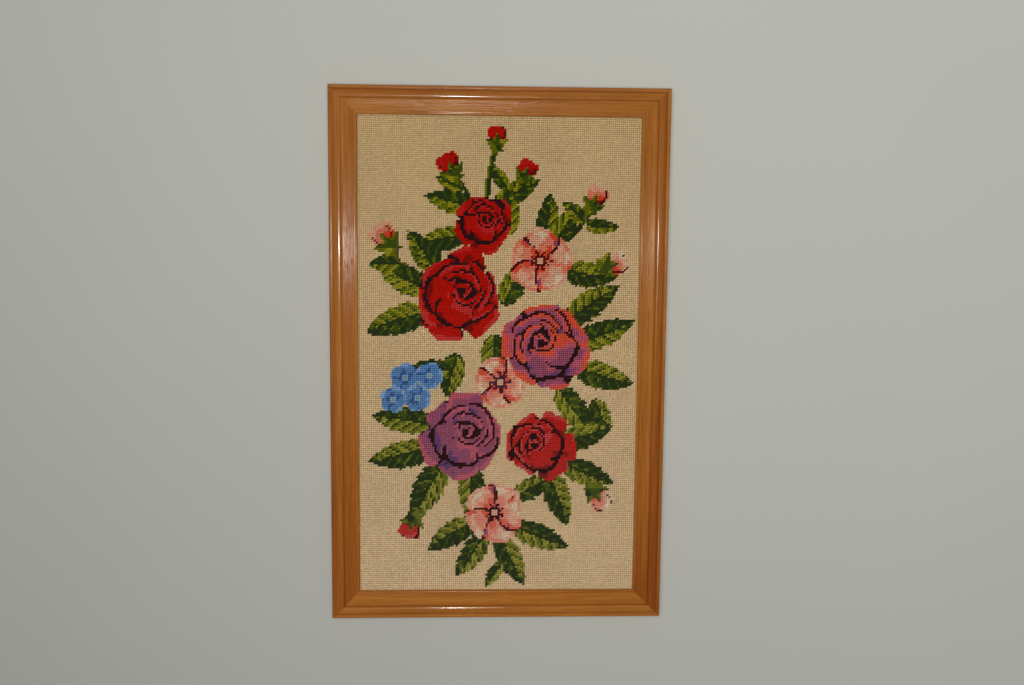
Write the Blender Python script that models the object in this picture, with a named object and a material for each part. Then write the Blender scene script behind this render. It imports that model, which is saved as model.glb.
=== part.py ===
"""Needlepoint canvas panel in a moulded wooden frame, lying on its back.

Metres, +Z up. The picture faces +Z, its top is towards +Y, and the origin is the
middle of the frame's back, level with the surface that the frame lies on.
"""

import math

import bmesh
import bpy
from mathutils import Matrix, Vector

MM = 0.001

# The opening that shows the picture, and the frame's moulding round it.
SIGHT_WIDTH = 292 * MM
SIGHT_HEIGHT = 500 * MM
MOULDING_WIDTH = 29 * MM
TORUS_HEIGHT = 15.4 * MM

# The touching faces of two pieces stay this far apart.
JOINT_GAP = 0.3 * MM

# The rebate cut in the moulding's back, which takes the canvas.
REBATE_WIDTH = 6 * MM
REBATE_DEPTH = 7.5 * MM

# The worked canvas: ground cloth with wool on both sides.
CANVAS_THICKNESS = 2.4 * MM
CANVAS_SIDE_PLAY = 1.0 * MM
CANVAS_CORNER_RADIUS = 1.5 * MM

# The moulding's section, measured outward (u) from the sight edge and up (z) from the back.
BEAD_RADIUS = 1.3 * MM
BEAD_CENTRE_Z = 10.6 * MM
BEAD_QUIRK_U = 2.8 * MM
BEAD_QUIRK_Z = 11.2 * MM
BAND_INNER_U = 3.3 * MM
BAND_INNER_Z = 12.2 * MM
BAND_OUTER_U = 14.5 * MM
BAND_OUTER_Z = 12.7 * MM
BAND_HOLLOW = 0.1 * MM
TORUS_QUIRK_U = 14.9 * MM
TORUS_QUIRK_Z = 12.1 * MM
TORUS_INNER_U = 15.3 * MM
TORUS_INNER_Z = 13.2 * MM
TORUS_PEAK_U = 18.6 * MM
TORUS_OUTER_U = 25.2 * MM
TORUS_OUTER_Z = 12.8 * MM
RIM_INNER_U = 25.8 * MM
RIM_Z = 13.2 * MM
RIM_RADIUS = 1.0 * MM
BACK_CHAMFER = 0.5 * MM

ARC_STEPS = 10
BAND_STEPS = 8
CORNER_STEPS = 4
SHARP_ANGLE = math.radians(30)
WELD_DISTANCE = 0.001 * MM

WOOD_COLOUR = (0.33, 0.13, 0.045, 1.0)
CANVAS_COLOUR = (0.46, 0.33, 0.19, 1.0)

COLLECTION_NAME = "needlepoint_canvas_panel"


def clear_scene():
    for obj in list(bpy.data.objects):
        bpy.data.objects.remove(obj, do_unlink=True)
    for mesh in list(bpy.data.meshes):
        bpy.data.meshes.remove(mesh)


def make_material(name, colour, roughness):
    material = bpy.data.materials.new(name)
    material.use_nodes = True
    shader = material.node_tree.nodes["Principled BSDF"]
    shader.inputs["Base Color"].default_value = colour
    shader.inputs["Roughness"].default_value = roughness
    shader.inputs["Metallic"].default_value = 0.0
    material.diffuse_color = colour
    return material


def elliptic_arc(centre_u, centre_z, radius_u, radius_z, start, end, steps):
    """Points on an ellipse from one angle to another, in degrees, both ends included."""
    points = []
    for step in range(steps + 1):
        angle = math.radians(start + (end - start) * step / steps)
        u = centre_u + radius_u * math.cos(angle)
        z = centre_z + radius_z * math.sin(angle)
        points.append((u, z))
    return points


def hollow_band(steps):
    """The wide flat band, from its outer edge in to its inner one, dished a little."""
    points = []
    for step in range(steps + 1):
        share = step / steps
        u = BAND_OUTER_U + (BAND_INNER_U - BAND_OUTER_U) * share
        z = BAND_OUTER_Z + (BAND_INNER_Z - BAND_OUTER_Z) * share
        dish = BAND_HOLLOW * 4 * share * (1 - share)
        points.append((u, z - dish))
    return points


def moulding_section():
    """The closed section, anticlockwise from the foot of the rebate."""
    section = [
        (REBATE_WIDTH, 0.0),
        (MOULDING_WIDTH - BACK_CHAMFER, 0.0),
        (MOULDING_WIDTH, BACK_CHAMFER),
    ]
    rim_centre_u = MOULDING_WIDTH - RIM_RADIUS
    rim_centre_z = RIM_Z - RIM_RADIUS
    section += elliptic_arc(
        rim_centre_u, rim_centre_z, RIM_RADIUS, RIM_RADIUS, 0, 90, ARC_STEPS // 2
    )
    section.append((RIM_INNER_U, RIM_Z))

    # The torus falls gently towards the rim and steeply towards the picture.
    outer_reach = TORUS_OUTER_U - TORUS_PEAK_U
    outer_rise = TORUS_HEIGHT - TORUS_OUTER_Z
    section += elliptic_arc(
        TORUS_PEAK_U, TORUS_OUTER_Z, outer_reach, outer_rise, 0, 90, ARC_STEPS
    )
    inner_reach = TORUS_PEAK_U - TORUS_INNER_U
    inner_rise = TORUS_HEIGHT - TORUS_INNER_Z
    inner_side = elliptic_arc(
        TORUS_PEAK_U, TORUS_INNER_Z, inner_reach, inner_rise, 90, 180, ARC_STEPS
    )
    section += inner_side[1:]
    section.append((TORUS_INNER_U, TORUS_QUIRK_Z))
    section.append((TORUS_QUIRK_U, TORUS_QUIRK_Z))

    section += hollow_band(BAND_STEPS)
    section.append((BEAD_QUIRK_U, BEAD_QUIRK_Z))
    section += elliptic_arc(
        BEAD_RADIUS, BEAD_CENTRE_Z, BEAD_RADIUS, BEAD_RADIUS, 15, 180, ARC_STEPS
    )
    section.append((0.0, REBATE_DEPTH))
    section.append((REBATE_WIDTH, REBATE_DEPTH))
    return section


def extruded_section(name, section, length):
    """A closed mesh of the section, drawn out to a length."""
    curve = bpy.data.curves.new(name + "_section", "CURVE")
    curve.dimensions = "2D"
    curve.fill_mode = "BOTH"
    curve.extrude = length / 2
    spline = curve.splines.new("POLY")
    spline.points.add(len(section) - 1)
    for point, (u, z) in zip(spline.points, section):
        point.co = (u, z, 0.0, 1.0)
    spline.use_cyclic_u = True
    drawn = bpy.data.objects.new(name + "_section", curve)
    bpy.context.scene.collection.objects.link(drawn)

    graph = bpy.context.evaluated_depsgraph_get()
    mesh = bpy.data.meshes.new_from_object(drawn.evaluated_get(graph))
    mesh.name = name
    bpy.data.objects.remove(drawn)
    bpy.data.curves.remove(curve)

    shape = bmesh.new()
    shape.from_mesh(mesh)
    bmesh.ops.remove_doubles(shape, verts=shape.verts, dist=WELD_DISTANCE)
    shape.to_mesh(mesh)
    shape.free()
    return mesh


def lay_section(sight_distance):
    """Turn a drawn section so that it runs along X and faces up.

    Its u points away from the picture, to -Y, and its z points up.
    """
    turn = Matrix(((0, 0, -1), (-1, 0, 0), (0, 1, 0))).to_4x4()
    return Matrix.Translation((0.0, -sight_distance, 0.0)) @ turn


def mitre(shape, half_length, sight_distance):
    """Cut both ends at 45 degrees, half a joint gap short of the corner's plane."""
    for side in (-1, 1):
        corner = Vector((side * half_length, -sight_distance, 0.0))
        outward = Vector((side, 1, 0)).normalized()
        cut = bmesh.ops.bisect_plane(
            shape,
            geom=shape.verts[:] + shape.edges[:] + shape.faces[:],
            dist=WELD_DISTANCE,
            plane_co=corner - outward * JOINT_GAP / 2,
            plane_no=outward,
            clear_outer=True,
        )
        rim = [item for item in cut["geom_cut"] if isinstance(item, bmesh.types.BMEdge)]
        bmesh.ops.contextual_create(shape, geom=rim)


def add_rail(name, opening_along, opening_across, turn, material, collection):
    """One mitred length of moulding.

    It lies along the side of the opening that is opening_along long, half of
    opening_across from the middle, and turn, in degrees, brings it to its side.
    """
    uncut_length = opening_along + 4 * MOULDING_WIDTH
    mesh = extruded_section(name, moulding_section(), uncut_length)
    mesh.transform(lay_section(opening_across / 2))

    shape = bmesh.new()
    shape.from_mesh(mesh)
    mitre(shape, opening_along / 2, opening_across / 2)
    bmesh.ops.recalc_face_normals(shape, faces=shape.faces)
    shape.to_mesh(mesh)
    shape.free()

    mesh.shade_smooth()
    mesh.set_sharp_from_angle(angle=SHARP_ANGLE)
    mesh.materials.clear()
    mesh.materials.append(material)
    rail = bpy.data.objects.new(name, mesh)
    rail.rotation_euler.z = math.radians(turn)
    collection.objects.link(rail)
    return rail


def add_canvas(material, collection):
    """The worked canvas, a flat sheet seated against the underside of the lip."""
    width = SIGHT_WIDTH + 2 * (REBATE_WIDTH - CANVAS_SIDE_PLAY)
    height = SIGHT_HEIGHT + 2 * (REBATE_WIDTH - CANVAS_SIDE_PLAY)
    top = REBATE_DEPTH - JOINT_GAP

    shape = bmesh.new()
    bmesh.ops.create_cube(shape, size=1.0)
    bmesh.ops.scale(shape, vec=(width, height, CANVAS_THICKNESS), verts=shape.verts)
    bmesh.ops.translate(shape, vec=(0, 0, top - CANVAS_THICKNESS / 2), verts=shape.verts)
    upright = [e for e in shape.edges if abs(e.verts[0].co.z - e.verts[1].co.z) > MM]
    bmesh.ops.bevel(
        shape,
        geom=upright,
        offset=CANVAS_CORNER_RADIUS,
        segments=CORNER_STEPS,
        profile=0.5,
        affect="EDGES",
    )
    mesh = bpy.data.meshes.new("canvas")
    shape.to_mesh(mesh)
    shape.free()
    mesh.materials.append(material)
    canvas = bpy.data.objects.new("canvas", mesh)
    collection.objects.link(canvas)
    return canvas


def build():
    clear_scene()
    collection = bpy.data.collections.new(COLLECTION_NAME)
    bpy.context.scene.collection.children.link(collection)
    wood = make_material("varnished_wood", WOOD_COLOUR, 0.3)
    wool = make_material("worked_canvas", CANVAS_COLOUR, 0.9)

    # name, the opening's length beside the rail, its size across, the rail's turn
    rails = [
        ("frame_bottom", SIGHT_WIDTH, SIGHT_HEIGHT, 0),
        ("frame_right", SIGHT_HEIGHT, SIGHT_WIDTH, 90),
        ("frame_top", SIGHT_WIDTH, SIGHT_HEIGHT, 180),
        ("frame_left", SIGHT_HEIGHT, SIGHT_WIDTH, 270),
    ]
    for name, along, across, turn in rails:
        add_rail(name, along, across, turn, wood, collection)
    add_canvas(wool, collection)


build()
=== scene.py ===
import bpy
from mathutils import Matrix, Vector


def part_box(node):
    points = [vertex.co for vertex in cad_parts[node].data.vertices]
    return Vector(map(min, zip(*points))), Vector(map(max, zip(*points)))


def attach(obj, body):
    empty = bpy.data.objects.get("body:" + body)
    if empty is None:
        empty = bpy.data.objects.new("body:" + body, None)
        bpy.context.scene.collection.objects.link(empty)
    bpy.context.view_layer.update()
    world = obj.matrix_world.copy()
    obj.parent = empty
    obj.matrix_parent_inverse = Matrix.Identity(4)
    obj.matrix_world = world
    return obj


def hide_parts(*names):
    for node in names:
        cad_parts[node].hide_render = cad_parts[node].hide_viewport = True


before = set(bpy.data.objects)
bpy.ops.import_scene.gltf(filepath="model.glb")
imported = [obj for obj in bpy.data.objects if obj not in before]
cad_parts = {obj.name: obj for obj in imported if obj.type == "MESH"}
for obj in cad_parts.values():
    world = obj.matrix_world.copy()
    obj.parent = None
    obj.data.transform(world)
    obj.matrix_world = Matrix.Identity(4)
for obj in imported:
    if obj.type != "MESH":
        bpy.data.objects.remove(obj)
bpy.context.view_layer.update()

import math

import bmesh
import bpy
import numpy as np
from mathutils import Matrix, Vector

mm = 0.001

# What the frame says: the opening's size and how far the moulding reaches round it
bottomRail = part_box("frame_bottom")
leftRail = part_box("frame_left")
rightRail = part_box("frame_right")
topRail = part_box("frame_top")
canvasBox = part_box("canvas")
sightWidth = rightRail[0][0] - leftRail[1][0]
sightHeight = topRail[0][1] - bottomRail[1][1]
mouldingWidth = topRail[1][1] - topRail[0][1]
mouldingHeight = topRail[1][2]


def linear(red, green, blue):
    # 0 to 255 as seen on a screen, to the linear colour that a shader takes
    parts = []
    for part in (red, green, blue):
        part = part / 255
        parts.append(part / 12.92 if part <= 0.04045 else ((part + 0.055) / 1.055) ** 2.4)
    return (*parts, 1.0)


def addObject(name, data):
    made = bpy.data.objects.new(name, data)
    bpy.context.scene.collection.objects.link(made)
    return made


def takeMesh(shape, name):
    mesh = bpy.data.meshes.new(name)
    shape.to_mesh(mesh)
    shape.free()
    return mesh


def applyModifiers(source):
    # the source's mesh as its modifiers leave it; the source itself goes
    graph = bpy.context.evaluated_depsgraph_get()
    mesh = bpy.data.meshes.new_from_object(source.evaluated_get(graph))
    bpy.data.objects.remove(source)
    return mesh


# Camera, floor and light

view = {
    "place": (-0.03855, 0.1541, 1.1914),
    "turn": (-6.6375, -2.4817, 0.5066),  # degrees about X, Y, Z
    "lens": 40.08,
    "sensor": 36,
}

studio = {
    "floorSize": 8.0,
    "floorColour": (205, 206, 198),
    "floorValue": 0.915,
    "floorCloud": 0.05,
    # painted light: the floor grows lighter to the right and up
    "floorPaintedLightSlope": 0.22,  # lighter for each metre to the right and up
    "worldColour": (0.95, 0.97, 1.0),
    "worldStrength": 0.10,
}

lamps = {
    "flash": {"place": (-0.048, 0.08, 1.19), "size": 0.04, "power": 2.0, "colour": (1, 0.98, 0.94)},
    "glint": {"place": (-0.048, 0.08, 1.19), "size": 0.04, "power": 6.0, "colour": (1, 0.98, 0.95)},
    "softbox": {"place": (-0.35, 0.5, 3.6), "size": 3.0, "power": 79.0, "colour": (1, 0.99, 0.97)},
}


def addCamera():
    lens = bpy.data.cameras.new("camera")
    lens.lens = view["lens"]
    lens.sensor_width = view["sensor"]
    lens.clip_start = 0.01
    camera = addObject("camera", lens)
    camera.location = view["place"]
    camera.rotation_euler = [math.radians(angle) for angle in view["turn"]]
    bpy.context.scene.camera = camera


def addLamp(name):
    look = lamps[name]
    lamp = bpy.data.lights.new(name, "AREA")
    lamp.shape = "DISK"
    lamp.size = look["size"]
    lamp.energy = look["power"]
    lamp.color = look["colour"]
    light = addObject(name, lamp)
    light.location = look["place"]
    light.rotation_euler = (-Vector(look["place"])).to_track_quat("-Z", "Y").to_euler()
    return light


def addStudio():
    world = bpy.data.worlds.new("studio")
    world.use_nodes = True
    background = world.node_tree.nodes["Background"]
    background.inputs["Color"].default_value = (*studio["worldColour"], 1)
    background.inputs["Strength"].default_value = studio["worldStrength"]
    bpy.context.scene.world = world
    bpy.context.scene.view_settings.view_transform = "Standard"
    addLamp("flash")
    # the glint only brings the flash's highlights on the varnish up to their strength
    addLamp("glint").visible_diffuse = False
    # the softbox fills the shade without a second highlight on the varnish
    addLamp("softbox").visible_glossy = False


def addFloor():
    shape = bmesh.new()
    bmesh.ops.create_grid(shape, x_segments=8, y_segments=8, size=studio["floorSize"] / 2)
    floor = addObject("floor", takeMesh(shape, "floor"))
    return floor


# Helpers for node trees and materials

def addNode(tree, kind, inputs=None, **settings):
    node = tree.nodes.new(kind)
    for name, value in settings.items():
        setattr(node, name, value)
    for name, value in (inputs or {}).items():
        socket = node.inputs[name]
        if isinstance(value, bpy.types.NodeSocket):
            tree.links.new(value, socket)
        else:
            socket.default_value = value
    return node


def shaderMath(tree, operation, *values):
    inputs = dict(enumerate(values))
    return addNode(tree, "ShaderNodeMath", inputs, operation=operation).outputs[0]


def addShare(tree, value, share, base):
    # value times share, on top of base
    return shaderMath(tree, "MULTIPLY_ADD", value, share, base)


def mapRange(tree, value, between, becomes):
    inputs = {0: value, 1: between[0], 2: between[1], 3: becomes[0], 4: becomes[1]}
    return addNode(tree, "ShaderNodeMapRange", inputs).outputs[0]


def noise(tree, where, scale, detail, rough=0.5):
    inputs = {"Vector": where, "Scale": scale, "Detail": detail, "Roughness": rough}
    return addNode(tree, "ShaderNodeTexNoise", inputs).outputs[0]


def readAttribute(tree, name, output="Fac"):
    return addNode(tree, "ShaderNodeAttribute", attribute_name=name).outputs[output]


def mixColour(tree, share, first, second, blend="MIX"):
    inputs = {0: share, 6: first, 7: second}
    node = addNode(tree, "ShaderNodeMix", inputs, data_type="RGBA", blend_type=blend)
    return node.outputs[2]


def newGroup(name, kind, inputs, outputs):
    group = bpy.data.node_groups.new(name, kind)
    for title, socketType, value in inputs:
        socket = group.interface.new_socket(title, in_out="INPUT", socket_type=socketType)
        if value is not None:
            socket.default_value = value
    for title, socketType in outputs:
        group.interface.new_socket(title, in_out="OUTPUT", socket_type=socketType)
    return group, group.nodes.new("NodeGroupInput"), group.nodes.new("NodeGroupOutput")


def linkOutputs(tree, result, values):
    for name, value in values.items():
        tree.links.new(value, result.inputs[name])


def placeGroup(tree, group, inputs):
    return addNode(tree, "ShaderNodeGroup", inputs, node_tree=group)


def newMaterial(name, **settings):
    material = bpy.data.materials.new(name)
    material.use_nodes = True
    shader = material.node_tree.nodes["Principled BSDF"]
    for title, value in settings.items():
        shader.inputs[title.replace("_", " ")].default_value = value
    return material, material.node_tree, shader


def addBump(tree, shader, height, distance):
    inputs = {"Height": height, "Distance": distance, "Strength": 1.0}
    bump = addNode(tree, "ShaderNodeBump", inputs)
    tree.links.new(bump.outputs[0], shader.inputs["Normal"])


# Shared effects

grainLook = {
    # each noise: scale, detail, roughness, and how fast it changes along the grain
    "bands": (90, 3, 0.55, 0.05),
    "lines": (700, 4, 0.65, 0.03),
    "pores": (1600, 2, 0.5, 0.05),
    "clouds": (9, 2, 0.5, 0.5),
    # how much each counts, and from where to where their sum turns light wood dark
    "bandShare": 0.6,
    "lineShare": 0.9,
    "cloudShare": 0.5,
    "darkRange": (0.75, 1.25),
    "poreRange": (0.60, 0.72),
    "poreShade": 0.35,
    "poreDepth": -1.2,
    "stainShadeCloud": 0.9,
    "stainShadeLeast": 0.45,
}


def makeWoodGrain():
    # Grain along Place's first axis: pores, broad bands and fine lines.
    # Stain above 0 is dark colour: stain left in the grooves, and painted shade in the quirks and in the
    # valley beside the roll; below 0 it is painted light, lighter wood where the wood lies in shade
    look = grainLook
    group, given, result = newGroup(
        "woodGrain",
        "ShaderNodeTree",
        [
            ("Place", "NodeSocketVector", None),
            ("Stain And Shade", "NodeSocketFloat", 0.0),
            ("Age", "NodeSocketFloat", 0.0),
            ("Light Wood", "NodeSocketColor", (0.5, 0.22, 0.07, 1)),
            ("Dark Wood", "NodeSocketColor", (0.3, 0.1, 0.02, 1)),
            ("Dark Stain And Shade", "NodeSocketColor", (0.1, 0.03, 0.01, 1)),
            ("Painted Light Wood", "NodeSocketColor", (0.8, 0.4, 0.15, 1)),
            ("Age And Shade Tint", "NodeSocketColor", (0.8, 0.6, 0.45, 1)),
        ],
        [
            ("Colour", "NodeSocketColor"),
            ("Height", "NodeSocketFloat"),
            ("Wear", "NodeSocketFloat"),
            ("Streaks", "NodeSocketFloat"),
        ],
    )
    place = given.outputs["Place"]

    def stretched(name):
        scale, detail, rough, along = look[name]
        pulled = addNode(group, "ShaderNodeMapping", {"Vector": place, "Scale": (along, 1, 1)})
        return noise(group, pulled.outputs[0], scale, detail, rough)

    bands = stretched("bands")
    lines = stretched("lines")
    pores = stretched("pores")
    clouds = stretched("clouds")
    share = shaderMath(group, "MULTIPLY", bands, look["bandShare"])
    share = addShare(group, lines, look["lineShare"], share)
    share = addShare(group, clouds, look["cloudShare"], share)
    dark = mapRange(group, share, look["darkRange"], (0.0, 1.0))
    colour = mixColour(group, dark, given.outputs["Light Wood"], given.outputs["Dark Wood"])
    poreMask = mapRange(group, pores, look["poreRange"], (0.0, look["poreShade"]))
    colour = mixColour(group, poreMask, colour, given.outputs["Dark Stain And Shade"])
    uneven = addShare(group, clouds, look["stainShadeCloud"], look["stainShadeLeast"])
    # stain and painted shade darken the wood by the stain share
    stainShadeShare = shaderMath(group, "MULTIPLY", given.outputs["Stain And Shade"], uneven)
    colour = mixColour(group, stainShadeShare, colour, given.outputs["Dark Stain And Shade"])
    # painted light: where the stain share is below 0 the wood is made lighter
    paintedLight = mapRange(group, given.outputs["Stain And Shade"], (0.0, -1.0), (0.0, 1.0))
    colour = mixColour(group, paintedLight, colour, given.outputs["Painted Light Wood"])
    # age and painted shade darken the colour by the tint
    colour = mixColour(group, given.outputs["Age"], colour, given.outputs["Age And Shade Tint"], "MULTIPLY")
    height = addShare(group, poreMask, look["poreDepth"], lines)
    linkOutputs(group, result, {"Colour": colour, "Height": height, "Wear": clouds, "Streaks": lines})
    return group


yarnLook = {
    "fadeScale": 14,
    "fibreScale": 5200,
    "twistLean": 0.8,
    "holePower": 3.0,
    # painted shade: stronger colour at a stitch's sides, at its holes and for each metre up
    "richSides": 0.5,
    "richHoles": 4.7,
    "richUp": 0.48,
    "twistShade": 0.05,
    "fadeShade": 0.25,
    "fibreShade": 0.3,
    "twistHeight": 0.5,
}


def makeWoolYarn():
    # Reads what each stitch carries: its own tint, and along and side from its middle, -1 to 1
    look = yarnLook
    group, given, result = newGroup(
        "woolYarn",
        "ShaderNodeTree",
        [
            ("Wool", "NodeSocketColor", (0.5, 0.4, 0.3, 1)),
            ("Tint Spread", "NodeSocketFloat", 0.2),
            ("Hole Shade", "NodeSocketFloat", 0.15),
            ("Rich Gaps", "NodeSocketFloat", 1.0),
            ("Plies", "NodeSocketFloat", 2.0),
            # painted light and shade: the wool's value changes going up
            ("Painted Shade Up", "NodeSocketFloat", -0.06),  # change in value for each metre up
        ],
        [("Colour", "NodeSocketColor"), ("Height", "NodeSocketFloat")],
    )
    tint = readAttribute(group, "tint")
    parts = addNode(group, "ShaderNodeSeparateXYZ", {0: readAttribute(group, "ply", "Vector")})
    along, side = parts.outputs[0], parts.outputs[1]
    here = addNode(group, "ShaderNodeTexCoord").outputs["Object"]
    up = addNode(group, "ShaderNodeSeparateXYZ", {0: here}).outputs[1]
    toneDrift = noise(group, here, look["fadeScale"], 3)
    fibres = noise(group, here, look["fibreScale"], 2)

    def centred(value):
        return shaderMath(group, "SUBTRACT", value, 0.5)

    twist = addShare(group, side, look["twistLean"], along)
    twist = shaderMath(group, "MULTIPLY", twist, given.outputs["Plies"])
    twist = shaderMath(group, "SINE", shaderMath(group, "MULTIPLY", twist, math.pi))

    # painted shade: darker where the wool dives into the canvas, and richer colour there and at its sides
    ends = shaderMath(group, "POWER", shaderMath(group, "ABSOLUTE", along), look["holePower"])
    ends = shaderMath(group, "MULTIPLY", ends, given.outputs["Hole Shade"])
    sides = shaderMath(group, "MULTIPLY", side, side)
    rich = shaderMath(group, "MULTIPLY", ends, look["richHoles"])
    rich = addShare(group, sides, look["richSides"], rich)
    rich = addShare(group, rich, given.outputs["Rich Gaps"], 1.0)
    rich = addShare(group, up, look["richUp"], rich)

    value = shaderMath(group, "SUBTRACT", 1.0, ends)
    value = addShare(group, centred(tint), given.outputs["Tint Spread"], value)
    value = addShare(group, twist, look["twistShade"], value)
    value = addShare(group, centred(toneDrift), look["fadeShade"], value)
    # painted light and shade: lighter or darker for each metre up
    value = addShare(group, up, given.outputs["Painted Shade Up"], value)
    value = addShare(group, centred(fibres), look["fibreShade"], value)
    inputs = {"Color": given.outputs["Wool"], "Value": value, "Saturation": rich}
    colour = addNode(group, "ShaderNodeHueSaturation", inputs).outputs[0]
    height = addShare(group, twist, look["twistHeight"], fibres)
    linkOutputs(group, result, {"Colour": colour, "Height": height})
    return group


# Materials

woodLook = {
    "lightWood": (196, 131, 57),
    "darkWood": (158, 91, 31),
    "darkStainAndShade": (128, 60, 20),
    # painted light, laid where the wood lies in shade
    "paintedLightWood": (232, 172, 100),
    "ageAndShadeTint": (0.67, 0.49, 0.40, 1),
    "grainDepth": 0.0002,
    "wearRange": (0.3, 0.7),
    "roughness": (0.15, 0.2),
    "streakRange": (0.4, 0.62),
    "polish": (1.0, 0.55),
}


def makeVarnishedWood(grain):
    material, tree, shader = newMaterial(
        "varnishedWood", Coat_Roughness=0.12, Coat_IOR=1.5, Specular_IOR_Level=0.08
    )
    inputs = {
        "Place": readAttribute(tree, "grainPlace", "Vector"),
        "Stain And Shade": readAttribute(tree, "stainAndShade"),
        "Age": readAttribute(tree, "ageAndShade"),
        "Light Wood": linear(*woodLook["lightWood"]),
        "Dark Wood": linear(*woodLook["darkWood"]),
        "Dark Stain And Shade": linear(*woodLook["darkStainAndShade"]),
        "Painted Light Wood": linear(*woodLook["paintedLightWood"]),
        "Age And Shade Tint": woodLook["ageAndShadeTint"],
    }
    wood = placeGroup(tree, grain, inputs)
    tree.links.new(wood.outputs["Colour"], shader.inputs["Base Color"])
    rough = mapRange(tree, wood.outputs["Wear"], woodLook["wearRange"], woodLook["roughness"])
    tree.links.new(rough, shader.inputs["Roughness"])
    polish = mapRange(tree, wood.outputs["Streaks"], woodLook["streakRange"], woodLook["polish"])
    coat = shaderMath(tree, "MULTIPLY", readAttribute(tree, "gloss"), polish)
    tree.links.new(coat, shader.inputs["Coat Weight"])
    addBump(tree, shader, wood.outputs["Height"], woodLook["grainDepth"])
    return material


woolLook = {
    "gain": 1.49,
    "brightest": 0.9,
    # painted shade in the gaps
    "richGround": 1.1,  # how much stronger the colour gets in the gaps
    "richFlowers": 0.35,
    "fibreDepth": 0.00012,
}


def makeWool(name, colour, yarn):
    dyed = [min(woolLook["brightest"], part * woolLook["gain"]) for part in linear(*colour)[:3]]
    dyed = (*dyed, 1)
    material, tree, shader = newMaterial(
        "wool_" + name,
        Roughness=0.9,
        Sheen_Weight=0.15,
        Sheen_Roughness=0.5,
        Sheen_Tint=dyed,
        Specular_IOR_Level=0.12,
    )
    gaps = woolLook["richGround"] if name == "linen" else woolLook["richFlowers"]
    strand = placeGroup(tree, yarn, {"Wool": dyed, "Rich Gaps": gaps})
    tree.links.new(strand.outputs["Colour"], shader.inputs["Base Color"])
    addBump(tree, shader, strand.outputs["Height"], woolLook["fibreDepth"])
    return material


clothLook = {
    "thread": (196, 172, 134),
    "wool": 0.7,  # what shows between two stitches: this much of their wool
    "canvas": 0.12,  # and this much of the thread
    # painted shade: the gap colour darker, the darker the wool is
    "deepen": 1.25,
    "tint": (1.68, 1.24, 0.79, 1.0),  # browned by the shade in the gaps
    # painted shade: the gaps darker going up
    "toneDrift": 0.9,  # darker for each metre up
    "strandScale": 150,
    "strandTurn": 28,  # degrees
    "strandShade": (0.55, 1.05),
    "fibreScale": 3000,
    "threadDepth": 0.0004,
}


def makeCanvasCloth():
    # the ground threads, and on the back the undersides of the stitches, from the cloth's own colours; in
    # front these hold the painted shade of the gaps
    material, tree, shader = newMaterial("canvasCloth", Roughness=0.95, Specular_IOR_Level=0.05)
    here = addNode(tree, "ShaderNodeTexCoord").outputs["Object"]
    turn = (0, 0, math.radians(clothLook["strandTurn"]))
    slant = addNode(tree, "ShaderNodeMapping", {"Vector": here, "Rotation": turn}).outputs[0]
    inputs = {"Vector": slant, "Scale": clothLook["strandScale"], "Distortion": 1.5}
    strands = addNode(tree, "ShaderNodeTexWave", inputs).outputs["Fac"]
    fibres = noise(tree, here, clothLook["fibreScale"], 2)
    share = mapRange(tree, strands, (0.0, 1.0), clothLook["strandShade"])
    grey = addNode(tree, "ShaderNodeCombineColor", {0: share, 1: share, 2: share}).outputs[0]
    shaded = mixColour(tree, 1.0, readAttribute(tree, "backWoolAndGapShade", "Color"), grey, "MULTIPLY")
    tree.links.new(shaded, shader.inputs["Base Color"])
    addBump(tree, shader, shaderMath(tree, "ADD", strands, fibres), clothLook["threadDepth"])
    return material


def makeFloorPaint():
    material, tree, shader = newMaterial("floorPaint", Roughness=0.9, Specular_IOR_Level=0.1)
    here = addNode(tree, "ShaderNodeTexCoord").outputs["Object"]
    parts = addNode(tree, "ShaderNodeSeparateXYZ", {0: here})
    value = addShare(tree, noise(tree, here, 3, 4), studio["floorCloud"], studio["floorValue"])
    # painted light: lighter for each metre to the right and up
    value = addShare(tree, parts.outputs[0], studio["floorPaintedLightSlope"], value)
    value = addShare(tree, parts.outputs[1], studio["floorPaintedLightSlope"], value)
    inputs = {"Color": linear(*studio["floorColour"]), "Value": value}
    paint = addNode(tree, "ShaderNodeHueSaturation", inputs)
    tree.links.new(paint.outputs[0], shader.inputs["Base Color"])
    return material


# The moulding: heights above the back and distances from the sight edge, in millimetres

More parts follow.
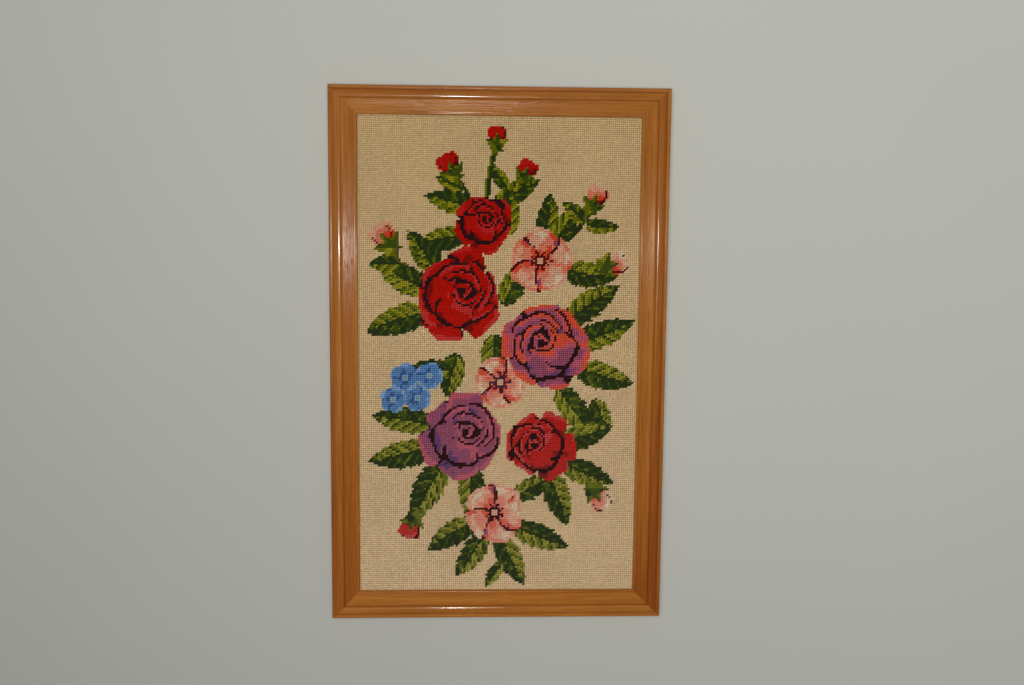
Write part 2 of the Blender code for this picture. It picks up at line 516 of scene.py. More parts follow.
moulding = {
    "rebateWidth": 6.0,
    "rebateDepth": 7.5,
    "heel": 0.5,
    "sideLevels": (4.0, 8.0),
    "beadRadius": 1.3,
    "beadHeight": 10.6,
    "beadOuter": 3.0,
    "bandInner": (3.3, 12.2),
    "bandOuter": (14.5, 12.7),
    "bandHollow": 0.1,
    "quirkFloor": 12.3,
    "quirkOuter": 15.8,
    "torusInner": 13.2,
    "torusPeak": 18.6,
    "torusOuter": (24.6, 12.75),
    "rimInner": 25.8,
    "rimHeight": 13.2,
    "rimRadius": 1.0,
    # the quirk beside the bead, with its stain and painted shade, and the sight edge under it, with painted
    # light
    "beadQuirk": [(3.05, 11.9, 0.15), (2.8, 11.55, 0.3), (2.45, 11.5, 0.3)],
    "sightEdge": [(0.0, 9.8, -0.3), (0.0, 8.6, -0.7)],
    "stations": 56,
    "mitreGap": 0.05,
    "wander": 0.12,
    "sway": ((5, 1.0), (13, 0.5)),  # rate and height of each wave
    "lift": ((7, 0.4), (17, 0.25)),
    "straightRim": 2.0,
    "grainShift": (0.7, 0.1),  # metres along and across, from one rail's grain to the next
    "sharpFrom": 32,  # degrees
    # how much of the varnish shines on the rounds, the flat band and the bead
    "glossRound": 0.9,
    "glossBand": 0.06,
    "glossBead": 0.25,
    # how deep the colour has gone at a rail's upper or left end, its middle and its other end: age, and
    # painted shade, most of all at the lower ends of the side rails
    "ageAndShade": {
        "bottom": (0.25, 0.3, 0.35),
        "right": (0.36, 0.12, 0.95),
        "top": (0.35, 0.3, 0.3),
        "left": (0.42, 0.68, 0.95),
    },
    # painted light and shade on the roll, and painted sheen on the bead, on top of that
    "rollLightAndShade": {"bottom": -0.05, "right": 0.42, "top": 0.1, "left": -0.25},
    "beadPaintedLight": {"bottom": 0.0, "right": -0.25, "top": -0.1, "left": -0.35},
    # how much stain and painted shade stays outside the roll, and inside it from one end to the other;
    # below 0 it is painted light
    "footStainAndShade": {"bottom": 0.5, "right": 0.55, "top": 0.9, "left": 0.1},
    "quirkStainAndShade": {
        "bottom": (0.5, 0.5),
        "right": (-0.1, 0.5),
        "top": (-0.2, -0.3),
        "left": (-0.6, 0.35),
    },
    # how well each rail keeps its shine
    "polish": {"bottom": 0.5, "right": 0.45, "top": 0.9, "left": 0.75},
}


def arcPoints(centre, reach, start, end, steps):
    points = []
    for angle in np.linspace(math.radians(start), math.radians(end), steps):
        points.append((centre[0] + reach[0] * math.cos(angle), centre[1] + reach[1] * math.sin(angle)))
    return points


def mouldingSection():
    # the closed outline, anticlockwise from the rebate's foot: distance, height and stain of each point,
    # where the stain share also holds painted shade and, below 0, painted light
    m = moulding
    wide = mouldingWidth / mm
    high = mouldingHeight / mm
    rim = m["rimRadius"]
    heel = m["heel"]
    outline = [(m["rebateWidth"], 0, 0), (wide - heel, 0, 0), (wide - 0.3 * heel, 0.3 * heel, 0.2)]
    outline += [(wide, heel, 0)] + [(wide, level, 0) for level in m["sideLevels"]]
    outline += [(*p, 0) for p in arcPoints((wide - rim, m["rimHeight"] - rim), (rim, rim), 0, 90, 8)]
    inner, level = m["rimInner"], m["rimHeight"]
    outline += [(inner + 0.8, level, 0), (inner + 0.15, level - 0.05, 0.1), (inner - 0.2, level - 0.4, 0.3)]
    peak = m["torusPeak"]
    reach = (m["torusOuter"][0] - peak, high - m["torusOuter"][1])
    outer = arcPoints((peak, m["torusOuter"][1]), reach, 4, 90, 20)
    # stain and painted shade deepen down the roll's outer side into the valley
    outline += [(u, z, max(0.0, 0.9 - 0.6 * (z - m["torusOuter"][1]))) for u, z in outer]
    reach = (peak - m["quirkOuter"], high - m["torusInner"])
    roll = arcPoints((peak, m["torusInner"]), reach, 95, 180, 14)
    # stain and painted shade deepen down the roll's inner side towards the quirk
    outline += [(u, z, max(0.0, 0.5 - (z - m["quirkFloor"]) / 1.6)) for u, z in roll]
    # the quirk's floor and the band's outer edge carry stain and painted shade
    outer, floor = m["quirkOuter"], m["quirkFloor"]
    outline += [(outer, floor + 0.1, 0.5), (outer - 0.2, floor, 0.5)]
    outline += [(m["bandOuter"][0] + 0.25, floor + 0.15, 0.3)]
    for share in np.linspace(0, 1, 16):
        u = m["bandOuter"][0] + (m["bandInner"][0] - m["bandOuter"][0]) * share
        z = m["bandOuter"][1] + (m["bandInner"][1] - m["bandOuter"][1]) * share
        dish = m["bandHollow"] * 4 * share * (1 - share)
        edge = 0.1 if share in (0, 1) else 0.0
        outline.append((u, z - dish, edge))
    outline += m["beadQuirk"]
    bead = arcPoints((m["beadRadius"], m["beadHeight"]), (m["beadRadius"], m["beadRadius"]), 45, 180, 12)
    outline += [(u, z, 0) for u, z in bead]
    # painted light on the sight edge and the rebate's inner face, lighter where they lie in shade
    outline += m["sightEdge"]
    outline += [(0.0, m["rebateDepth"], -0.7), (m["rebateWidth"], m["rebateDepth"], 0)]
    return outline


def waves(parts, starts, t):
    return sum(height * math.sin(rate * t + start) for (rate, height), start in zip(parts, starts))


def makeRail(side, along, across, turn, seed, wood):
    # a mitred length: every station keeps the section, and its ends follow the 45 degree joint
    m = moulding
    section = mouldingSection()
    count = len(section)
    shift = [seed * part for part in m["grainShift"]]
    straightFrom = mouldingWidth / mm - m["straightRim"]
    dice = np.random.default_rng(seed)
    phase = dice.uniform(0, 6.28, 4)
    shape = bmesh.new()
    placeLayer = shape.verts.layers.float_vector.new("grainPlace")
    stainShadeLayer = shape.verts.layers.float.new("stainAndShade")
    ageShadeLayer = shape.verts.layers.float.new("ageAndShade")
    glossLayer = shape.verts.layers.float.new("gloss")
    # age, stain and the painted light and shade in them are listed from a rail's upper or left end: t runs
    # that way, or against it
    downward = -1 if side in ("right", "top") else 1
    rings = []
    for station in range(m["stations"] + 1):
        t = 2 * station / m["stations"] - 1
        calm = (1 - t * t) * m["wander"] * mm
        bow = calm * waves(m["sway"], phase[:2], t)
        lift = calm * waves(m["lift"], phase[2:], t)
        # age and painted shade along the rail
        railAgeAndShade = np.interp(t * downward, (-1, 0, 1), m["ageAndShade"][side])
        inside = np.interp(t * downward, (-1, 1), m["quirkStainAndShade"][side])
        ring = []
        for u, z, stainAndShade in section:
            reach = along / 2 + (u - m["mitreGap"]) * mm
            outward = across / 2 + u * mm - bow * (0 < u < straightFrom)
            front = max(0.0, (z - m["rebateDepth"]) / m["rebateDepth"])
            vertex = shape.verts.new((t * reach, -outward, z * mm + lift * front))
            if u > 0:
                # each rail's own share of stain and painted shade, outside the roll's peak and inside it
                stainAndShade *= m["footStainAndShade"][side] if u > m["torusPeak"] else inside
            onRoll = m["quirkOuter"] <= u < m["rimInner"]
            onBead = u < m["bandInner"][0]
            # painted light and shade on the roll, and painted sheen on the bead
            own = onRoll * m["rollLightAndShade"][side] + onBead * m["beadPaintedLight"][side]
            shine = "glossRound"
            if u < m["quirkOuter"]:
                shine = "glossBead" if u < m["beadOuter"] else "glossBand"
            vertex[placeLayer] = (t * reach + shift[0], u * mm + shift[1], z * mm)
            vertex[stainShadeLayer] = stainAndShade
            # stain below 0 takes away age and shade too, as painted light
            vertex[ageShadeLayer] = max(0.0, railAgeAndShade + own + min(0.0, stainAndShade))
            vertex[glossLayer] = m[shine] * m["polish"][side]
            ring.append(vertex)
        rings.append(ring)
    for first, second in zip(rings, rings[1:]):
        for k in range(count):
            after = (k + 1) % count
            shape.faces.new((first[k], first[after], second[after], second[k]))
    shape.faces.new(rings[0])
    shape.faces.new(rings[-1])
    bmesh.ops.recalc_face_normals(shape, faces=shape.faces)
    shape.transform(Matrix.Rotation(math.radians(turn), 4, "Z"))
    mesh = takeMesh(shape, "moulding_" + side)
    mesh.shade_smooth()
    mesh.set_sharp_from_angle(angle=math.radians(moulding["sharpFrom"]))
    mesh.materials.append(wood)
    rail = addObject("moulding_" + side, mesh)
    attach(rail, "root")
    return rail


def makeRails(wood):
    rails = [
        ("bottom", sightWidth, sightHeight, 0),
        ("right", sightHeight, sightWidth, 90),
        ("top", sightWidth, sightHeight, 180),
        ("left", sightHeight, sightWidth, 270),
    ]
    made = []
    for seed, (side, along, across, turn) in enumerate(rails):
        rail = makeRail(side, along, across, turn, seed, wood)
        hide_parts("frame_" + side)
        made.append(rail)
    return made


# The chart: one cell is one stitch, x runs right and y up from the middle of the picture

chart = {"columns": 141, "rows": 239, "pitchAcross": 2.116, "pitchUp": 2.128, "seed": 21, "patch": 3}

# Every wool by name, dark to light within its family
wools = {
    "linen": (199, 180, 147),
    "night": (40, 16, 24), "burgundy": (80, 20, 25), "garnet": (128, 29, 29), "scarlet": (176, 34, 32),
    "rose": (184, 66, 66),
    "plum": (70, 38, 62), "violet": (100, 66, 112), "mauve": (144, 80, 106), "pink": (178, 92, 110),
    "coral": (206, 92, 74), "salmon": (214, 134, 114), "peach": (216, 164, 140), "blush": (226, 192, 168),
    "forest": (36, 54, 27), "fern": (62, 80, 28), "moss": (102, 109, 32), "lime": (144, 141, 54),
    "denim": (60, 94, 144), "sky": (90, 131, 180), "powder": (128, 160, 198),
}
woolNames = list(wools)
redRamp = ["night", "burgundy", "garnet", "scarlet", "scarlet", "rose"]
purpleRamp = ["night", "plum", "violet", "mauve", "pink", "coral"]
mauveRamp = ["night", "plum", "violet", "mauve", "mauve", "pink"]
pinkRamp = ["burgundy", "mauve", "coral", "salmon", "peach", "blush"]
coralRamp = ["burgundy", "garnet", "coral", "salmon", "peach"]
blueRamp = ["denim", "denim", "sky", "sky", "powder"]
leafRamp = ["forest", "forest", "fern", "moss", "lime"]

columnPlaces = np.arange(chart["columns"]) - (chart["columns"] - 1) / 2
rowPlaces = np.arange(chart["rows"]) - (chart["rows"] - 1) / 2
gridX, gridY = np.meshgrid(columnPlaces, rowPlaces)
cells = np.full(gridX.shape, woolNames.index("linen"))
dice = np.random.default_rng(chart["seed"])


def smoothNoise(reach):
    # random values blended over a few stitches each way
    window = np.hanning(2 * reach + 1)
    window /= window.sum()
    values = dice.normal(size=cells.shape)
    for axis in (1, 0):
        values = np.apply_along_axis(np.convolve, axis, values, window, "same")
    return values / values.std()


patches = smoothNoise(chart["patch"])


def lay(mask, wool):
    cells[mask] = woolNames.index(wool)


def step(x, y, angle, reach):
    return x + reach * math.cos(math.radians(angle)), y + reach * math.sin(math.radians(angle))


def turned(x, y, angle):
    dx, dy = gridX - x, gridY - y
    c, s = math.cos(math.radians(angle)), math.sin(math.radians(angle))
    return dx * c + dy * s, dy * c - dx * s


def distance(x, y):
    return np.hypot(gridX - x, gridY - y)


def shade(mask, tone, ramp):
    # tone 0 takes the ramp's second wool and 1 its last: the first is kept for the dark creases
    level = np.clip((tone * (len(ramp) - 1)).astype(int), 0, len(ramp) - 2) + 1
    for number, wool in enumerate(ramp):
        lay(mask & (level == number), wool)


def petalShape(x, y, angle, length, width, egg, ruffle, lobes):
    along, across = turned(x, y, angle)
    a = along / (length / 2) - 1
    b = across / (width / 2 * (1 + egg * np.clip(a, -1, 1)))
    value = np.hypot(a, b) / (1 + ruffle * np.sin(lobes * np.arctan2(b, a) + x * 1.7 + y))
    return value, (a + 1) / 2, b


petalLook = {
    "creaseShift": 0.6,
    "creaseWidth": 0.45,
    "tonePower": 1.2,
    "mottle": 0.07,
    "lipWidth": 1.8,  # in stitches
    "lipFrom": 0.4,
}


def petal(own, x, y, angle, length, width, ramp, low, high, egg, ruffle, shadow, lobes=5, shadowTurn=-50,
          lip=0.12, side=0.18):
    # a dark copy behind, moved a little, makes a crease over the bloom's own petals that swells on one side
    look = petalLook
    sx, sy = step(x, y, shadowTurn, look["creaseShift"] * shadow)
    size = min(length, width) / 2
    dark = petalShape(sx, sy, angle, length, width, egg, ruffle, lobes)[0]
    lay((dark <= 1 + look["creaseWidth"] * shadow / size) & own, ramp[0])
    value, share, b = petalShape(x, y, angle, length, width, egg, ruffle, lobes)
    mask = value <= 1
    tone = low + (high - low) * np.clip(share, 0, 1) ** look["tonePower"]
    tone = tone + side * b + look["mottle"] * patches
    tone = tone + lip * (value > 1 - look["lipWidth"] / size) * (share > look["lipFrom"])
    shade(mask, tone, ramp)
    own |= mask


foldLook = {
    "roundness": 2.4,
    "wobble": 0.03,
    "wobbleTurn": 0.09,
    "leastThick": 0.4,  # in stitches
    "creaseLeast": 0.55,
    "creaseGrowth": 0.6,
    "sideShade": 0.22,
    "mottle": 0.06,
}


def crescent(own, x, y, radius, middle, span, thick, ramp, outer, inner, crease, twist):
    # a rolled petal seen from above: light at its lip, darker inside, with a dark crease round it
    look = foldLook
    around = (np.degrees(np.arctan2(gridY - y, gridX - x)) - middle + 180) % 360 - 180
    share = np.abs(around) / (span / 2)
    body = np.sqrt(np.clip(1 - share ** look["roundness"], 0, 1))
    wobble = look["wobble"] * np.sin(look["wobbleTurn"] * around + x)
    reach = distance(x, y) / (1 + wobble + twist * around / span)
    depth = (radius - reach) / np.maximum(thick * body, look["leastThick"])
    swell = crease * (look["creaseLeast"] + look["creaseGrowth"] * np.clip(0.5 + around / span, 0, 1))
    near = (share < 1) & (reach <= radius + swell * body) & (depth <= 1 + crease / thick)
    lay(near & own, ramp[0])
    mask = (share < 1) & (depth >= 0) & (depth <= 1)
    lean = np.clip(around / span, -0.5, 0.5)
    tone = outer + (inner - outer) * depth - look["sideShade"] * lean + look["mottle"] * patches
    shade(mask, tone, ramp)
    own |= mask


def rose(x, y, radius, lean, ramp):
    # a full bloom: a skirt of broad petals, a bowl of folded ones, two in front and a curled heart
    own = np.zeros(cells.shape, bool)
    petals = 6
    for k in dice.permutation(petals):
        angle = lean + 180 + (k + 0.5) * 360 / petals + dice.uniform(-9, 9)
        start = 0.2 * radius
        reach = radius * dice.uniform(0.86, 1.12) - start
        wide = radius * dice.uniform(0.78, 0.96)
        bright = dice.uniform(0.66, 0.98)
        lobes = int(dice.integers(4, 7))
        petal(own, *step(x, y, angle, start), angle, reach, wide, ramp, 0.0, bright, egg=0.4, ruffle=0.07,
              lobes=lobes, shadow=2.0, shadowTurn=angle - 75, side=0.24)
    hx, hy = step(x, y, lean, 0.17 * radius)

    def fold(reach, middle, span, thick, outer, inner, crease, twist):
        # reach and thick are shares of the rose's radius, outer and inner the tones of a lip and behind it
        place = (hx, hy, reach * radius, lean + middle)
        crescent(own, *place, span, thick * radius, ramp, outer, inner, crease, twist)

    lay(distance(hx, hy) < 0.46 * radius, ramp[0])
    for reach, middle in ((0.64, -128), (0.66, 92), (0.6, -28)):
        fold(reach, middle, 138, 0.27, 0.95, 0.3, 1.5, 0.26)
    for reach, middle in ((0.42, 24), (0.4, 150), (0.38, -96)):
        fold(reach, middle, 128, 0.16, 1.0, 0.45, 1.1, 0.3)
    long = 0.66 * radius
    for turn, reach, wide, bright in ((150, 0.5, 0.84, 0.85), (-158, 0.44, 0.78, 1.0)):
        angle = lean + turn
        foot = step(hx, hy, angle, reach * radius - long / 2)
        petal(own, *foot, angle, long, wide * radius, ramp, bright, 0.4 * bright, egg=0.1, ruffle=0.05,
              shadow=1.8, shadowTurn=angle, lip=0.0, side=0.2)
    lay(distance(hx, hy) < 0.2 * radius, ramp[0])
    fold(0.25, 200, 190, 0.1, 1.0, 0.6, 0.9, 0.35)
    fold(0.2, 40, 170, 0.09, 0.9, 0.5, 0.7, 0.35)
    fold(0.11, -60, 200, 0.06 + 0.4 / radius, 0.9, 0.7, 0.4, 0.0)


def blossom(x, y, radius, lean, ramp, heart):
    # an open flower of five broad petals round a dark eye
    own = np.zeros(cells.shape, bool)
    for k in range(5):
        angle = lean + k * 72 + dice.uniform(-6, 6)
        foot = step(x, y, angle, 0.08 * radius)
        long = radius * dice.uniform(0.86, 1.0)
        petal(own, *foot, angle, long, radius * 1.08, ramp, 0.3, 1.0, egg=0.4, ruffle=0.07, lobes=4,
              shadow=1.2, shadowTurn=angle - 80, lip=-0.3, side=0.12)
    lay(distance(x, y) < 0.2 * radius, heart)
    for k in range(8):
        angle = lean + k * 45
        for reach in (0.2, 0.3, 0.4)[: 2 + k % 2]:
            lay(distance(*step(x, y, angle, reach * radius)) < 0.62, heart)
    lay(distance(x, y) < 0.08 * radius + 0.4, ramp[-2])


leafLook = {
    "fullness": 2.25,
    "toothDepth": 0.2,
    "teethPerStitch": 0.2,
    "leastHalf": 0.35,
    "veinLean": 1.05,
    "veinEvery": 5.2,
    "litTone": 0.72,
    "darkTone": 0.2,
    "edgeShade": 0.1,
    "mottle": 0.1,
    "tipFrom": 0.86,
    "tipShade": 0.35,
}


def leaf(x, y, angle, length, width, bend, lit):
    # a pointed, toothed leaf: one half in the light with pale veins, the other dark with a few
    look = leafLook
    along, across = turned(x, y, angle)
    share = along / length
    across = across - bend * length * share ** 2
    body = np.clip(share, 0, 1) ** 0.6 * np.clip(1 - share, 0, 1) ** 0.8 * look["fullness"]
    teeth = 1 + look["toothDepth"] * ((along * look["teethPerStitch"]) % 1 - 0.6)
    half = width / 2 * body * teeth + look["leastHalf"]
    mask = (share > 0) & (share < 1.03) & (np.abs(across) <= half)
    out = np.abs(across) / np.maximum(half, 0.5)
    inLight = across * lit > 0
    ribs = ((along - look["veinLean"] * np.abs(across)) / look["veinEvery"]) % 1
    tone = np.where(inLight, look["litTone"], look["darkTone"]) - look["edgeShade"] * out
    tone = tone + look["mottle"] * patches
    tone = np.where(inLight & (ribs < 0.34), tone + 0.25, tone)
    tone = np.where(inLight & (ribs > 0.8), tone - 0.4, tone)
    tone = np.where(~inLight & (ribs < 0.26), tone + 0.3, tone)
    tone = tone - look["tipShade"] * (share > look["tipFrom"])
    shade(mask, tone, leafRamp)
    lay(mask & (np.abs(across) < 0.55) & (share < 0.8), "forest")


def stem(points):
    # a smooth curve through its points, dark on the lower side
    thick = 2.2
    points = np.array(points, float)
    spans = np.arange(len(points))
    fine = np.linspace(0, len(points) - 1, 160)
    line = [np.polyval(np.polyfit(spans, points[:, axis], len(points) - 1), fine) for axis in (0, 1)]
    for px, py in zip(*line):
        lay(distance(px, py) < thick / 2, "moss")
    for px, py in zip(*line):
        lay(distance(px + 0.6, py - 0.5) < thick / 2 - 0.3, "forest")


def bud(x, y, radius, lean, ramp):
    # three closed petals in a cup of three small leaves
    own = np.zeros(cells.shape, bool)
    foot = step(x, y, lean, -0.8 * radius)
    for turn, wide in ((-22, 1.0), (22, 1.0), (0, 1.25)):
        petal(own, *foot, lean + turn, 1.75 * radius, wide * radius, ramp, 0.25, 0.78, egg=0.2, ruffle=0.0,
              shadow=1.0)
    for turn in (-54, 0, 54):
        along, across = turned(*step(x, y, lean, -radius), lean + turn)
        share = along / (1.2 * radius)
        mask = (share > -0.3) & (share < 1) & (np.abs(across) < 0.46 * radius * (1 - share) + 0.5)
        shade(mask, 0.3 + 0.35 * (across > 0) + 0.08 * patches, leafRamp)


def floret(x, y, radius, lean):
    # five round petals and a yellow eye
    own = np.zeros(cells.shape, bool)
    for k in range(5):
        angle = lean + k * 72
        petal(own, x, y, angle, radius, radius * 0.95, blueRamp, 0.1, 0.8, egg=0.35, ruffle=0.0, shadow=0.7,
              shadowTurn=angle - 80, lip=0.1)
    lay(distance(x, y) < 1.5, "powder")
    lay(distance(x, y) < 0.6, "lime")


bouquet = {
    "stems": [
        [(-8, 66), (-16, 80), (-24, 92)], [(-6, 66), (-6, 86), (-2, 106)], [(-4, 66), (6, 80), (12, 90)],
        [(20, 50), (36, 62), (46, 76)], [(20, 44), (38, 42), (54, 46)], [(-24, 34), (-44, 42), (-56, 56)],
        [(22, -46), (40, -56), (50, -68)], [(-18, -44), (-34, -66), (-42, -82)],
        [(-2, -78), (-1, -94), (3, -104)],
    ],
    # x, y, angle, length, width, bend, side in the light
    "leaves": [
        # round the top
        (-10, 72, 158, 27, 13, 0.12, 1), (-16, 60, 186, 24, 13, 0.1, -1), (-2, 74, 40, 24, 12, -0.14, 1),
        (4, 60, 84, 22, 11, 0.1, -1), (-18, 82, 150, 14, 7, 0.1, 1), (4, 82, 130, 15, 7, -0.1, -1),
        (24, 54, 96, 26, 13, -0.12, -1), (26, 56, 52, 22, 11, 0.1, 1), (30, 44, -14, 28, 14, 0.12, 1),
        (42, 66, 130, 15, 8, 0.1, 1), (42, 66, -10, 16, 8, 0.1, -1),
        # left of the red rose
        (-30, 40, 118, 26, 14, 0.1, 1), (-32, 32, 158, 32, 16, -0.1, 1), (-34, 22, 190, 32, 16, 0.12, -1),
        (-48, 46, 176, 16, 9, 0.1, 1),
        # middle
        (2, 26, 66, 26, 14, -0.1, 1), (-2, 12, 268, 26, 15, 0.1, -1), (-20, 2, 250, 22, 14, 0.1, 1),
        (-24, -6, 184, 26, 14, 0.12, 1),
        # right of the purple rose
        (34, 18, 42, 30, 15, -0.1, 1), (36, 8, 12, 32, 15, 0.12, -1), (38, -4, -22, 30, 15, 0.1, 1),
        (30, -14, -58, 30, 15, 0.1, -1), (48, -20, -70, 18, 10, 0.1, 1),
        # left of the mauve rose
        (-32, -34, 164, 30, 15, 0.12, 1), (-32, -44, 200, 32, 16, -0.1, -1),
        (-26, -52, 236, 34, 17, 0.1, 1), (-12, -54, 264, 28, 15, 0.1, -1),
        # right of the lower red rose
        (30, -42, 10, 28, 14, 0.12, 1), (32, -52, -28, 28, 14, 0.1, -1), (24, -56, -62, 30, 15, -0.1, 1),
        # round the foot
        (-10, -82, 206, 28, 14, 0.1, -1), (-6, -88, 244, 26, 13, -0.1, 1), (2, -90, 290, 27, 14, 0.1, 1),
        (8, -84, -28, 30, 14, 0.1, -1), (8, -70, 24, 22, 12, 0.1, 1), (3, -104, 230, 14, 7, 0.1, 1),
    ],
    "buds": [
        (-25, 94, 6, 118, redRamp), (-2, 108, 5.2, 86, redRamp), (13, 92, 5.2, 62, redRamp),
        (47, 79, 6, 66, coralRamp), (57, 47, 6.4, 12, pinkRamp), (-57, 59, 7, 126, coralRamp),
        (52, -71, 6.6, -54, pinkRamp), (-43, -86, 6, 252, redRamp),
    ],
}


def drawBouquet():
    for points in bouquet["stems"]:
        stem(points)
    for place in bouquet["leaves"]:
        leaf(*place)
    for place in bouquet["buds"]:
        bud(*place)
    floret(-46, -10, 7.5, 10)
    floret(-40, -20, 7, 40)
    floret(-34, -9, 7, 70)
    floret(-52, -21, 6.5, 5)
    blossom(20, 48, 15, 20, pinkRamp, "burgundy")
    rose(-8, 66, 14, 60, redRamp)
    blossom(1, -12, 13, 50, pinkRamp, "plum")
    rose(-20, 30, 22, 40, redRamp)
    rose(24, 6, 22, 130, purpleRamp)
    blossom(-1, -78, 15, 70, pinkRamp, "night")
    rose(-17, -40, 21, 50, mauveRamp)
    rose(21, -44, 17, 150, redRamp)


# The canvas and its stitches

stitching = {
    "clothFront": 5.75,  # heights above the back, in millimetres
    "stitchMiddle": 6.35,
    "skew": 0.25,  # degrees
    "wander": 0.18,
    "wanderReach": 18,  # in stitches
    "length": 3.1,
    "width": 1.76,
    "height": 1.4,
    "sink": 0.7,
    "slant": 38.0,  # degrees
    "strandSides": 5,
    "strandRings": 3,
    # shares and powers of the strand's form, and how much one stitch differs from the next
    "endsFuller": 0.5,
    "sinkPower": 2.4,
    "slantSpread": 0.05,
    "leastSize": (0.97, 0.95, 0.95),
    "mostSize": (1.02, 1.04, 1.04),
    "groundPieces": 3,
    "seed": 5,
}


def stitchPlaces():
    # the middle of every stitch, in metres: a grid a little off square, and a little uneven inside its edge
    x = gridX * chart["pitchAcross"]
    y = gridY * chart["pitchUp"]
    skew = math.radians(stitching["skew"])
    drift = stitching["wander"] * smoothNoise(stitching["wanderReach"])
    lift = stitching["wander"] * smoothNoise(stitching["wanderReach"])
    # even again at the edge, where the cloth is held
    edge = np.ones(x.shape)
    for grid in (gridX, gridY):
        edge *= np.clip(1.06 - np.abs(grid / grid.max()) ** 6, 0, 1)
    placeX = x * math.cos(skew) + y * math.sin(skew) + drift * edge
    placeY = y * math.cos(skew) - x * math.sin(skew) + lift * edge
    placeZ = np.full(x.shape, stitching["stitchMiddle"])
    return np.stack([placeX, placeY, placeZ], axis=-1) * mm


def makeClothMesh():
    # a cell for each stitch, front and back
    low, high = canvasBox
    shape = bmesh.new()
    bmesh.ops.create_grid(shape, x_segments=chart["columns"], y_segments=chart["rows"], size=0.5)
    bmesh.ops.scale(shape, vec=(high[0] - low[0], high[1] - low[1], 1), verts=shape.verts)
    bmesh.ops.translate(shape, vec=(0, 0, low[2]), verts=shape.verts)
    sheet = addObject("ground_cloth", takeMesh(shape, "ground_cloth"))
    solid = sheet.modifiers.new("thickness", "SOLIDIFY")
    solid.thickness = stitching["clothFront"] * mm - low[2]
    solid.offset = 1
    return applyModifiers(sheet)


def clothColours(mesh):
    # each cell has its stitch's wool on the back, and in front and at the edges the shade of a gap
    low, high = canvasBox
    centres = np.empty(len(mesh.polygons) * 3)
    normals = np.empty(len(mesh.polygons) * 3)
    mesh.polygons.foreach_get("center", centres)
    mesh.polygons.foreach_get("normal", normals)
    centres = centres.reshape(-1, 3)
    normals = normals.reshape(-1, 3)
    places = []
    for axis, count in ((0, chart["columns"]), (1, chart["rows"])):
        share = (centres[:, axis] - low[axis]) / (high[axis] - low[axis])
        places.append(np.clip((share * count).astype(int), 0, count - 1))
    column, row = places
    palette = np.array([linear(*colour) for colour in wools.values()])
    colours = palette[cells[row, column]]
    front = normals[:, 2] > -0.5
    thread = np.array(linear(*clothLook["thread"]))
    gap = (colours[front] * clothLook["wool"] + thread * clothLook["canvas"]) ** clothLook["deepen"]
    # painted shade: the gap browned by the tint, and darker for each metre up
    colours[front] = gap * clothLook["tint"] * (1 - clothLook["toneDrift"] * centres[front, 1:2])
    return colours


def makeCanvas(cloth):
    mesh = makeClothMesh()
    layer = mesh.attributes.new("backWoolAndGapShade", "FLOAT_COLOR", "FACE")
    layer.data.foreach_set("color", clothColours(mesh).ravel())
    mesh.materials.append(cloth)
    made = addObject("ground_cloth", mesh)
    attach(made, "root")
    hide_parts("canvas")
    return made


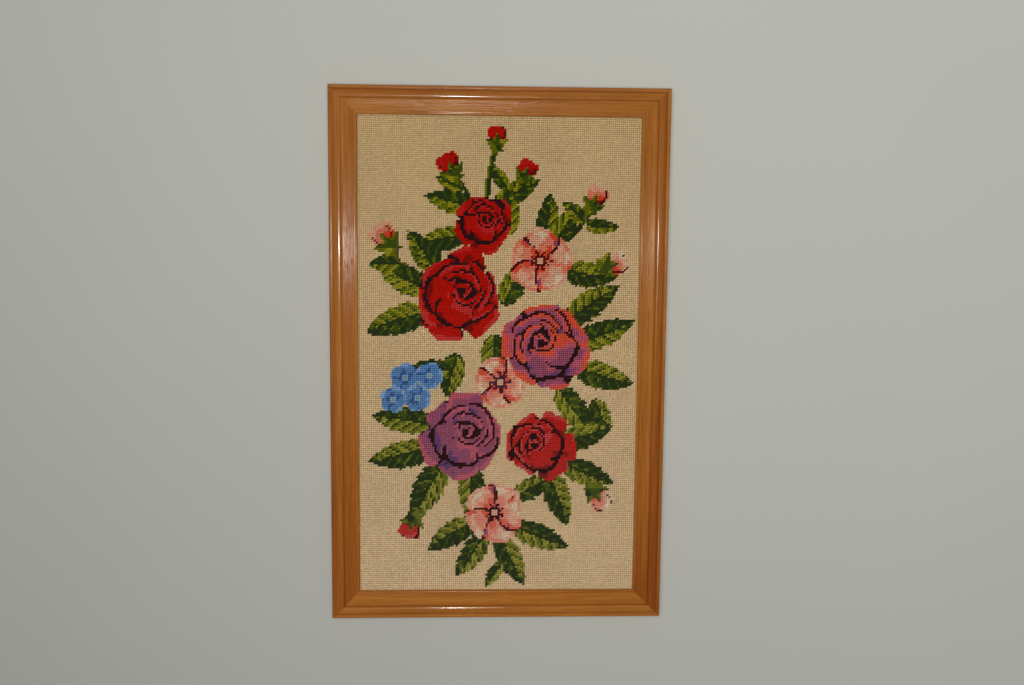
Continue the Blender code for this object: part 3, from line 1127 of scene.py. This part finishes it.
def makeStitchTree():
    # a strand of wool over each point: a slim ball, bowed down into the holes at its two ends
    tree, given, result = newGroup(
        "tentStitches",
        "GeometryNodeTree",
        [
            ("Places", "NodeSocketGeometry", None),
            ("Length", "NodeSocketFloat", 0.003),
            ("Width", "NodeSocketFloat", 0.0016),
            ("Height", "NodeSocketFloat", 0.0013),
            ("Sink", "NodeSocketFloat", 0.0007),
            ("Slant", "NodeSocketFloat", 0.8),
            ("Seed", "NodeSocketInt", 0),
            ("Wool", "NodeSocketMaterial", None),
        ],
        [("Stitches", "NodeSocketGeometry")],
    )

    def calc(operation, *values):
        return shaderMath(tree, operation, *values)

    def half(title):
        return calc("MULTIPLY", given.outputs[title], 0.5)

    def chance(kind, low, high, offset):
        node = addNode(tree, "FunctionNodeRandomValue", data_type=kind)
        pair = {"FLOAT": (2, 3), "FLOAT_VECTOR": (0, 1)}[kind]
        node.inputs[pair[0]].default_value = low
        node.inputs[pair[1]].default_value = high
        seed = calc("ADD", given.outputs["Seed"], offset)
        tree.links.new(seed, node.inputs["Seed"])
        return node.outputs[0] if kind == "FLOAT_VECTOR" else node.outputs[1]

    inputs = {"Segments": stitching["strandSides"], "Rings": stitching["strandRings"], "Radius": 1.0}
    ball = addNode(tree, "GeometryNodeMeshUVSphere", inputs).outputs[0]
    turn = {"Geometry": ball, "Rotation": (0, math.radians(90), 0)}
    ball = addNode(tree, "GeometryNodeTransform", turn).outputs[0]
    where = addNode(tree, "GeometryNodeInputPosition").outputs[0]
    inputs = {"Geometry": ball, "Name": "ply", "Value": where}
    marked = addNode(tree, "GeometryNodeStoreNamedAttribute", inputs, data_type="FLOAT_VECTOR").outputs[0]
    parts = addNode(tree, "ShaderNodeSeparateXYZ", {0: where})
    x = calc("MULTIPLY", parts.outputs[0], half("Length"))
    squared = calc("MULTIPLY", parts.outputs[0], parts.outputs[0])
    full = calc("MULTIPLY_ADD", squared, stitching["endsFuller"], 1.0)
    y = calc("MULTIPLY", parts.outputs[1], half("Width"))
    y = calc("MULTIPLY", y, full)
    z = calc("MULTIPLY", parts.outputs[2], half("Height"))
    drop = calc("POWER", calc("ABSOLUTE", parts.outputs[0]), stitching["sinkPower"])
    drop = calc("MULTIPLY", drop, given.outputs["Sink"])
    z = calc("SUBTRACT", z, drop)
    shaped = addNode(tree, "ShaderNodeCombineXYZ", {0: x, 1: y, 2: z}).outputs[0]
    strand = addNode(tree, "GeometryNodeSetPosition", {"Geometry": marked, "Position": shaped}).outputs[0]
    strand = addNode(tree, "GeometryNodeSetShadeSmooth", {"Geometry": strand}).outputs[0]

    spread = stitching["slantSpread"]
    lean = calc("ADD", given.outputs["Slant"], chance("FLOAT", -spread, spread, 1))
    angle = addNode(tree, "ShaderNodeCombineXYZ", {2: lean}).outputs[0]
    size = chance("FLOAT_VECTOR", stitching["leastSize"], stitching["mostSize"], 2)
    inputs = {"Points": given.outputs["Places"], "Instance": strand, "Rotation": angle, "Scale": size}
    copies = addNode(tree, "GeometryNodeInstanceOnPoints", inputs).outputs[0]
    inputs = {"Geometry": copies, "Name": "tint", "Value": chance("FLOAT", 0.0, 1.0, 3)}
    tinted = addNode(
        tree, "GeometryNodeStoreNamedAttribute", inputs, data_type="FLOAT", domain="INSTANCE"
    ).outputs[0]
    whole = addNode(tree, "GeometryNodeRealizeInstances", {"Geometry": tinted}).outputs[0]
    inputs = {"Geometry": whole, "Material": given.outputs["Wool"]}
    dressed = addNode(tree, "GeometryNodeSetMaterial", inputs).outputs[0]
    tree.links.new(dressed, result.inputs["Stitches"])
    return tree


def workStitches(name, places, wool, tree, seed):
    # one piece of stitching: a strand at every place
    mesh = bpy.data.meshes.new(name)
    mesh.from_pydata(places.tolist(), [], [])
    points = addObject(name, mesh)
    modifier = points.modifiers.new("stitches", "NODES")
    modifier.node_group = tree
    values = {
        "Length": stitching["length"] * mm,
        "Width": stitching["width"] * mm,
        "Height": stitching["height"] * mm,
        "Sink": stitching["sink"] * mm,
        "Slant": math.radians(stitching["slant"]),
        "Seed": seed,
        "Wool": wool,
    }
    for item in tree.interface.items_tree:
        if item.in_out == "INPUT" and item.name in values:
            modifier[item.identifier] = values[item.name]
    worked = applyModifiers(points)
    worked.name = name
    made = addObject(name, worked)
    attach(made, "root")
    return made


def makeStitches(yarn):
    places = stitchPlaces()
    tree = makeStitchTree()
    made = []
    for number, wool in enumerate(woolNames):
        material = makeWool(wool, wools[wool], yarn)
        here = cells == number
        if wool == "linen":
            # the ground is worked in bands, bottom to top
            rowsUp = np.array_split(np.arange(chart["rows"]), stitching["groundPieces"])
            for band, rowSet in enumerate(rowsUp):
                inBand = here & np.isin(np.arange(chart["rows"]), rowSet)[:, None]
                name = "stitches_linen_" + "abc"[band]
                made.append(workStitches(name, places[inBand], material, tree, stitching["seed"] + band))
        elif here.any():
            seed = stitching["seed"] + 10 + number
            made.append(workStitches("stitches_" + wool, places[here], material, tree, seed))
    return made


addCamera()
addStudio()
floor = addFloor()
print("camera, floor and light are in place")

grain = makeWoodGrain()
yarn = makeWoolYarn()
floor.data.materials.append(makeFloorPaint())
rails = makeRails(makeVarnishedWood(grain))
print("four rails of moulding")

drawBouquet()
print("the chart has", int((cells > 0).sum()), "coloured stitches of", cells.size)
ground = makeCanvas(makeCanvasCloth())
stitches = makeStitches(yarn)
print("worked", len(stitches), "pieces of stitching")

for piece in [ground, *rails, *stitches]:
    piece.data.calc_loop_triangles()
    print(piece.name, len(piece.data.loop_triangles), "triangles")
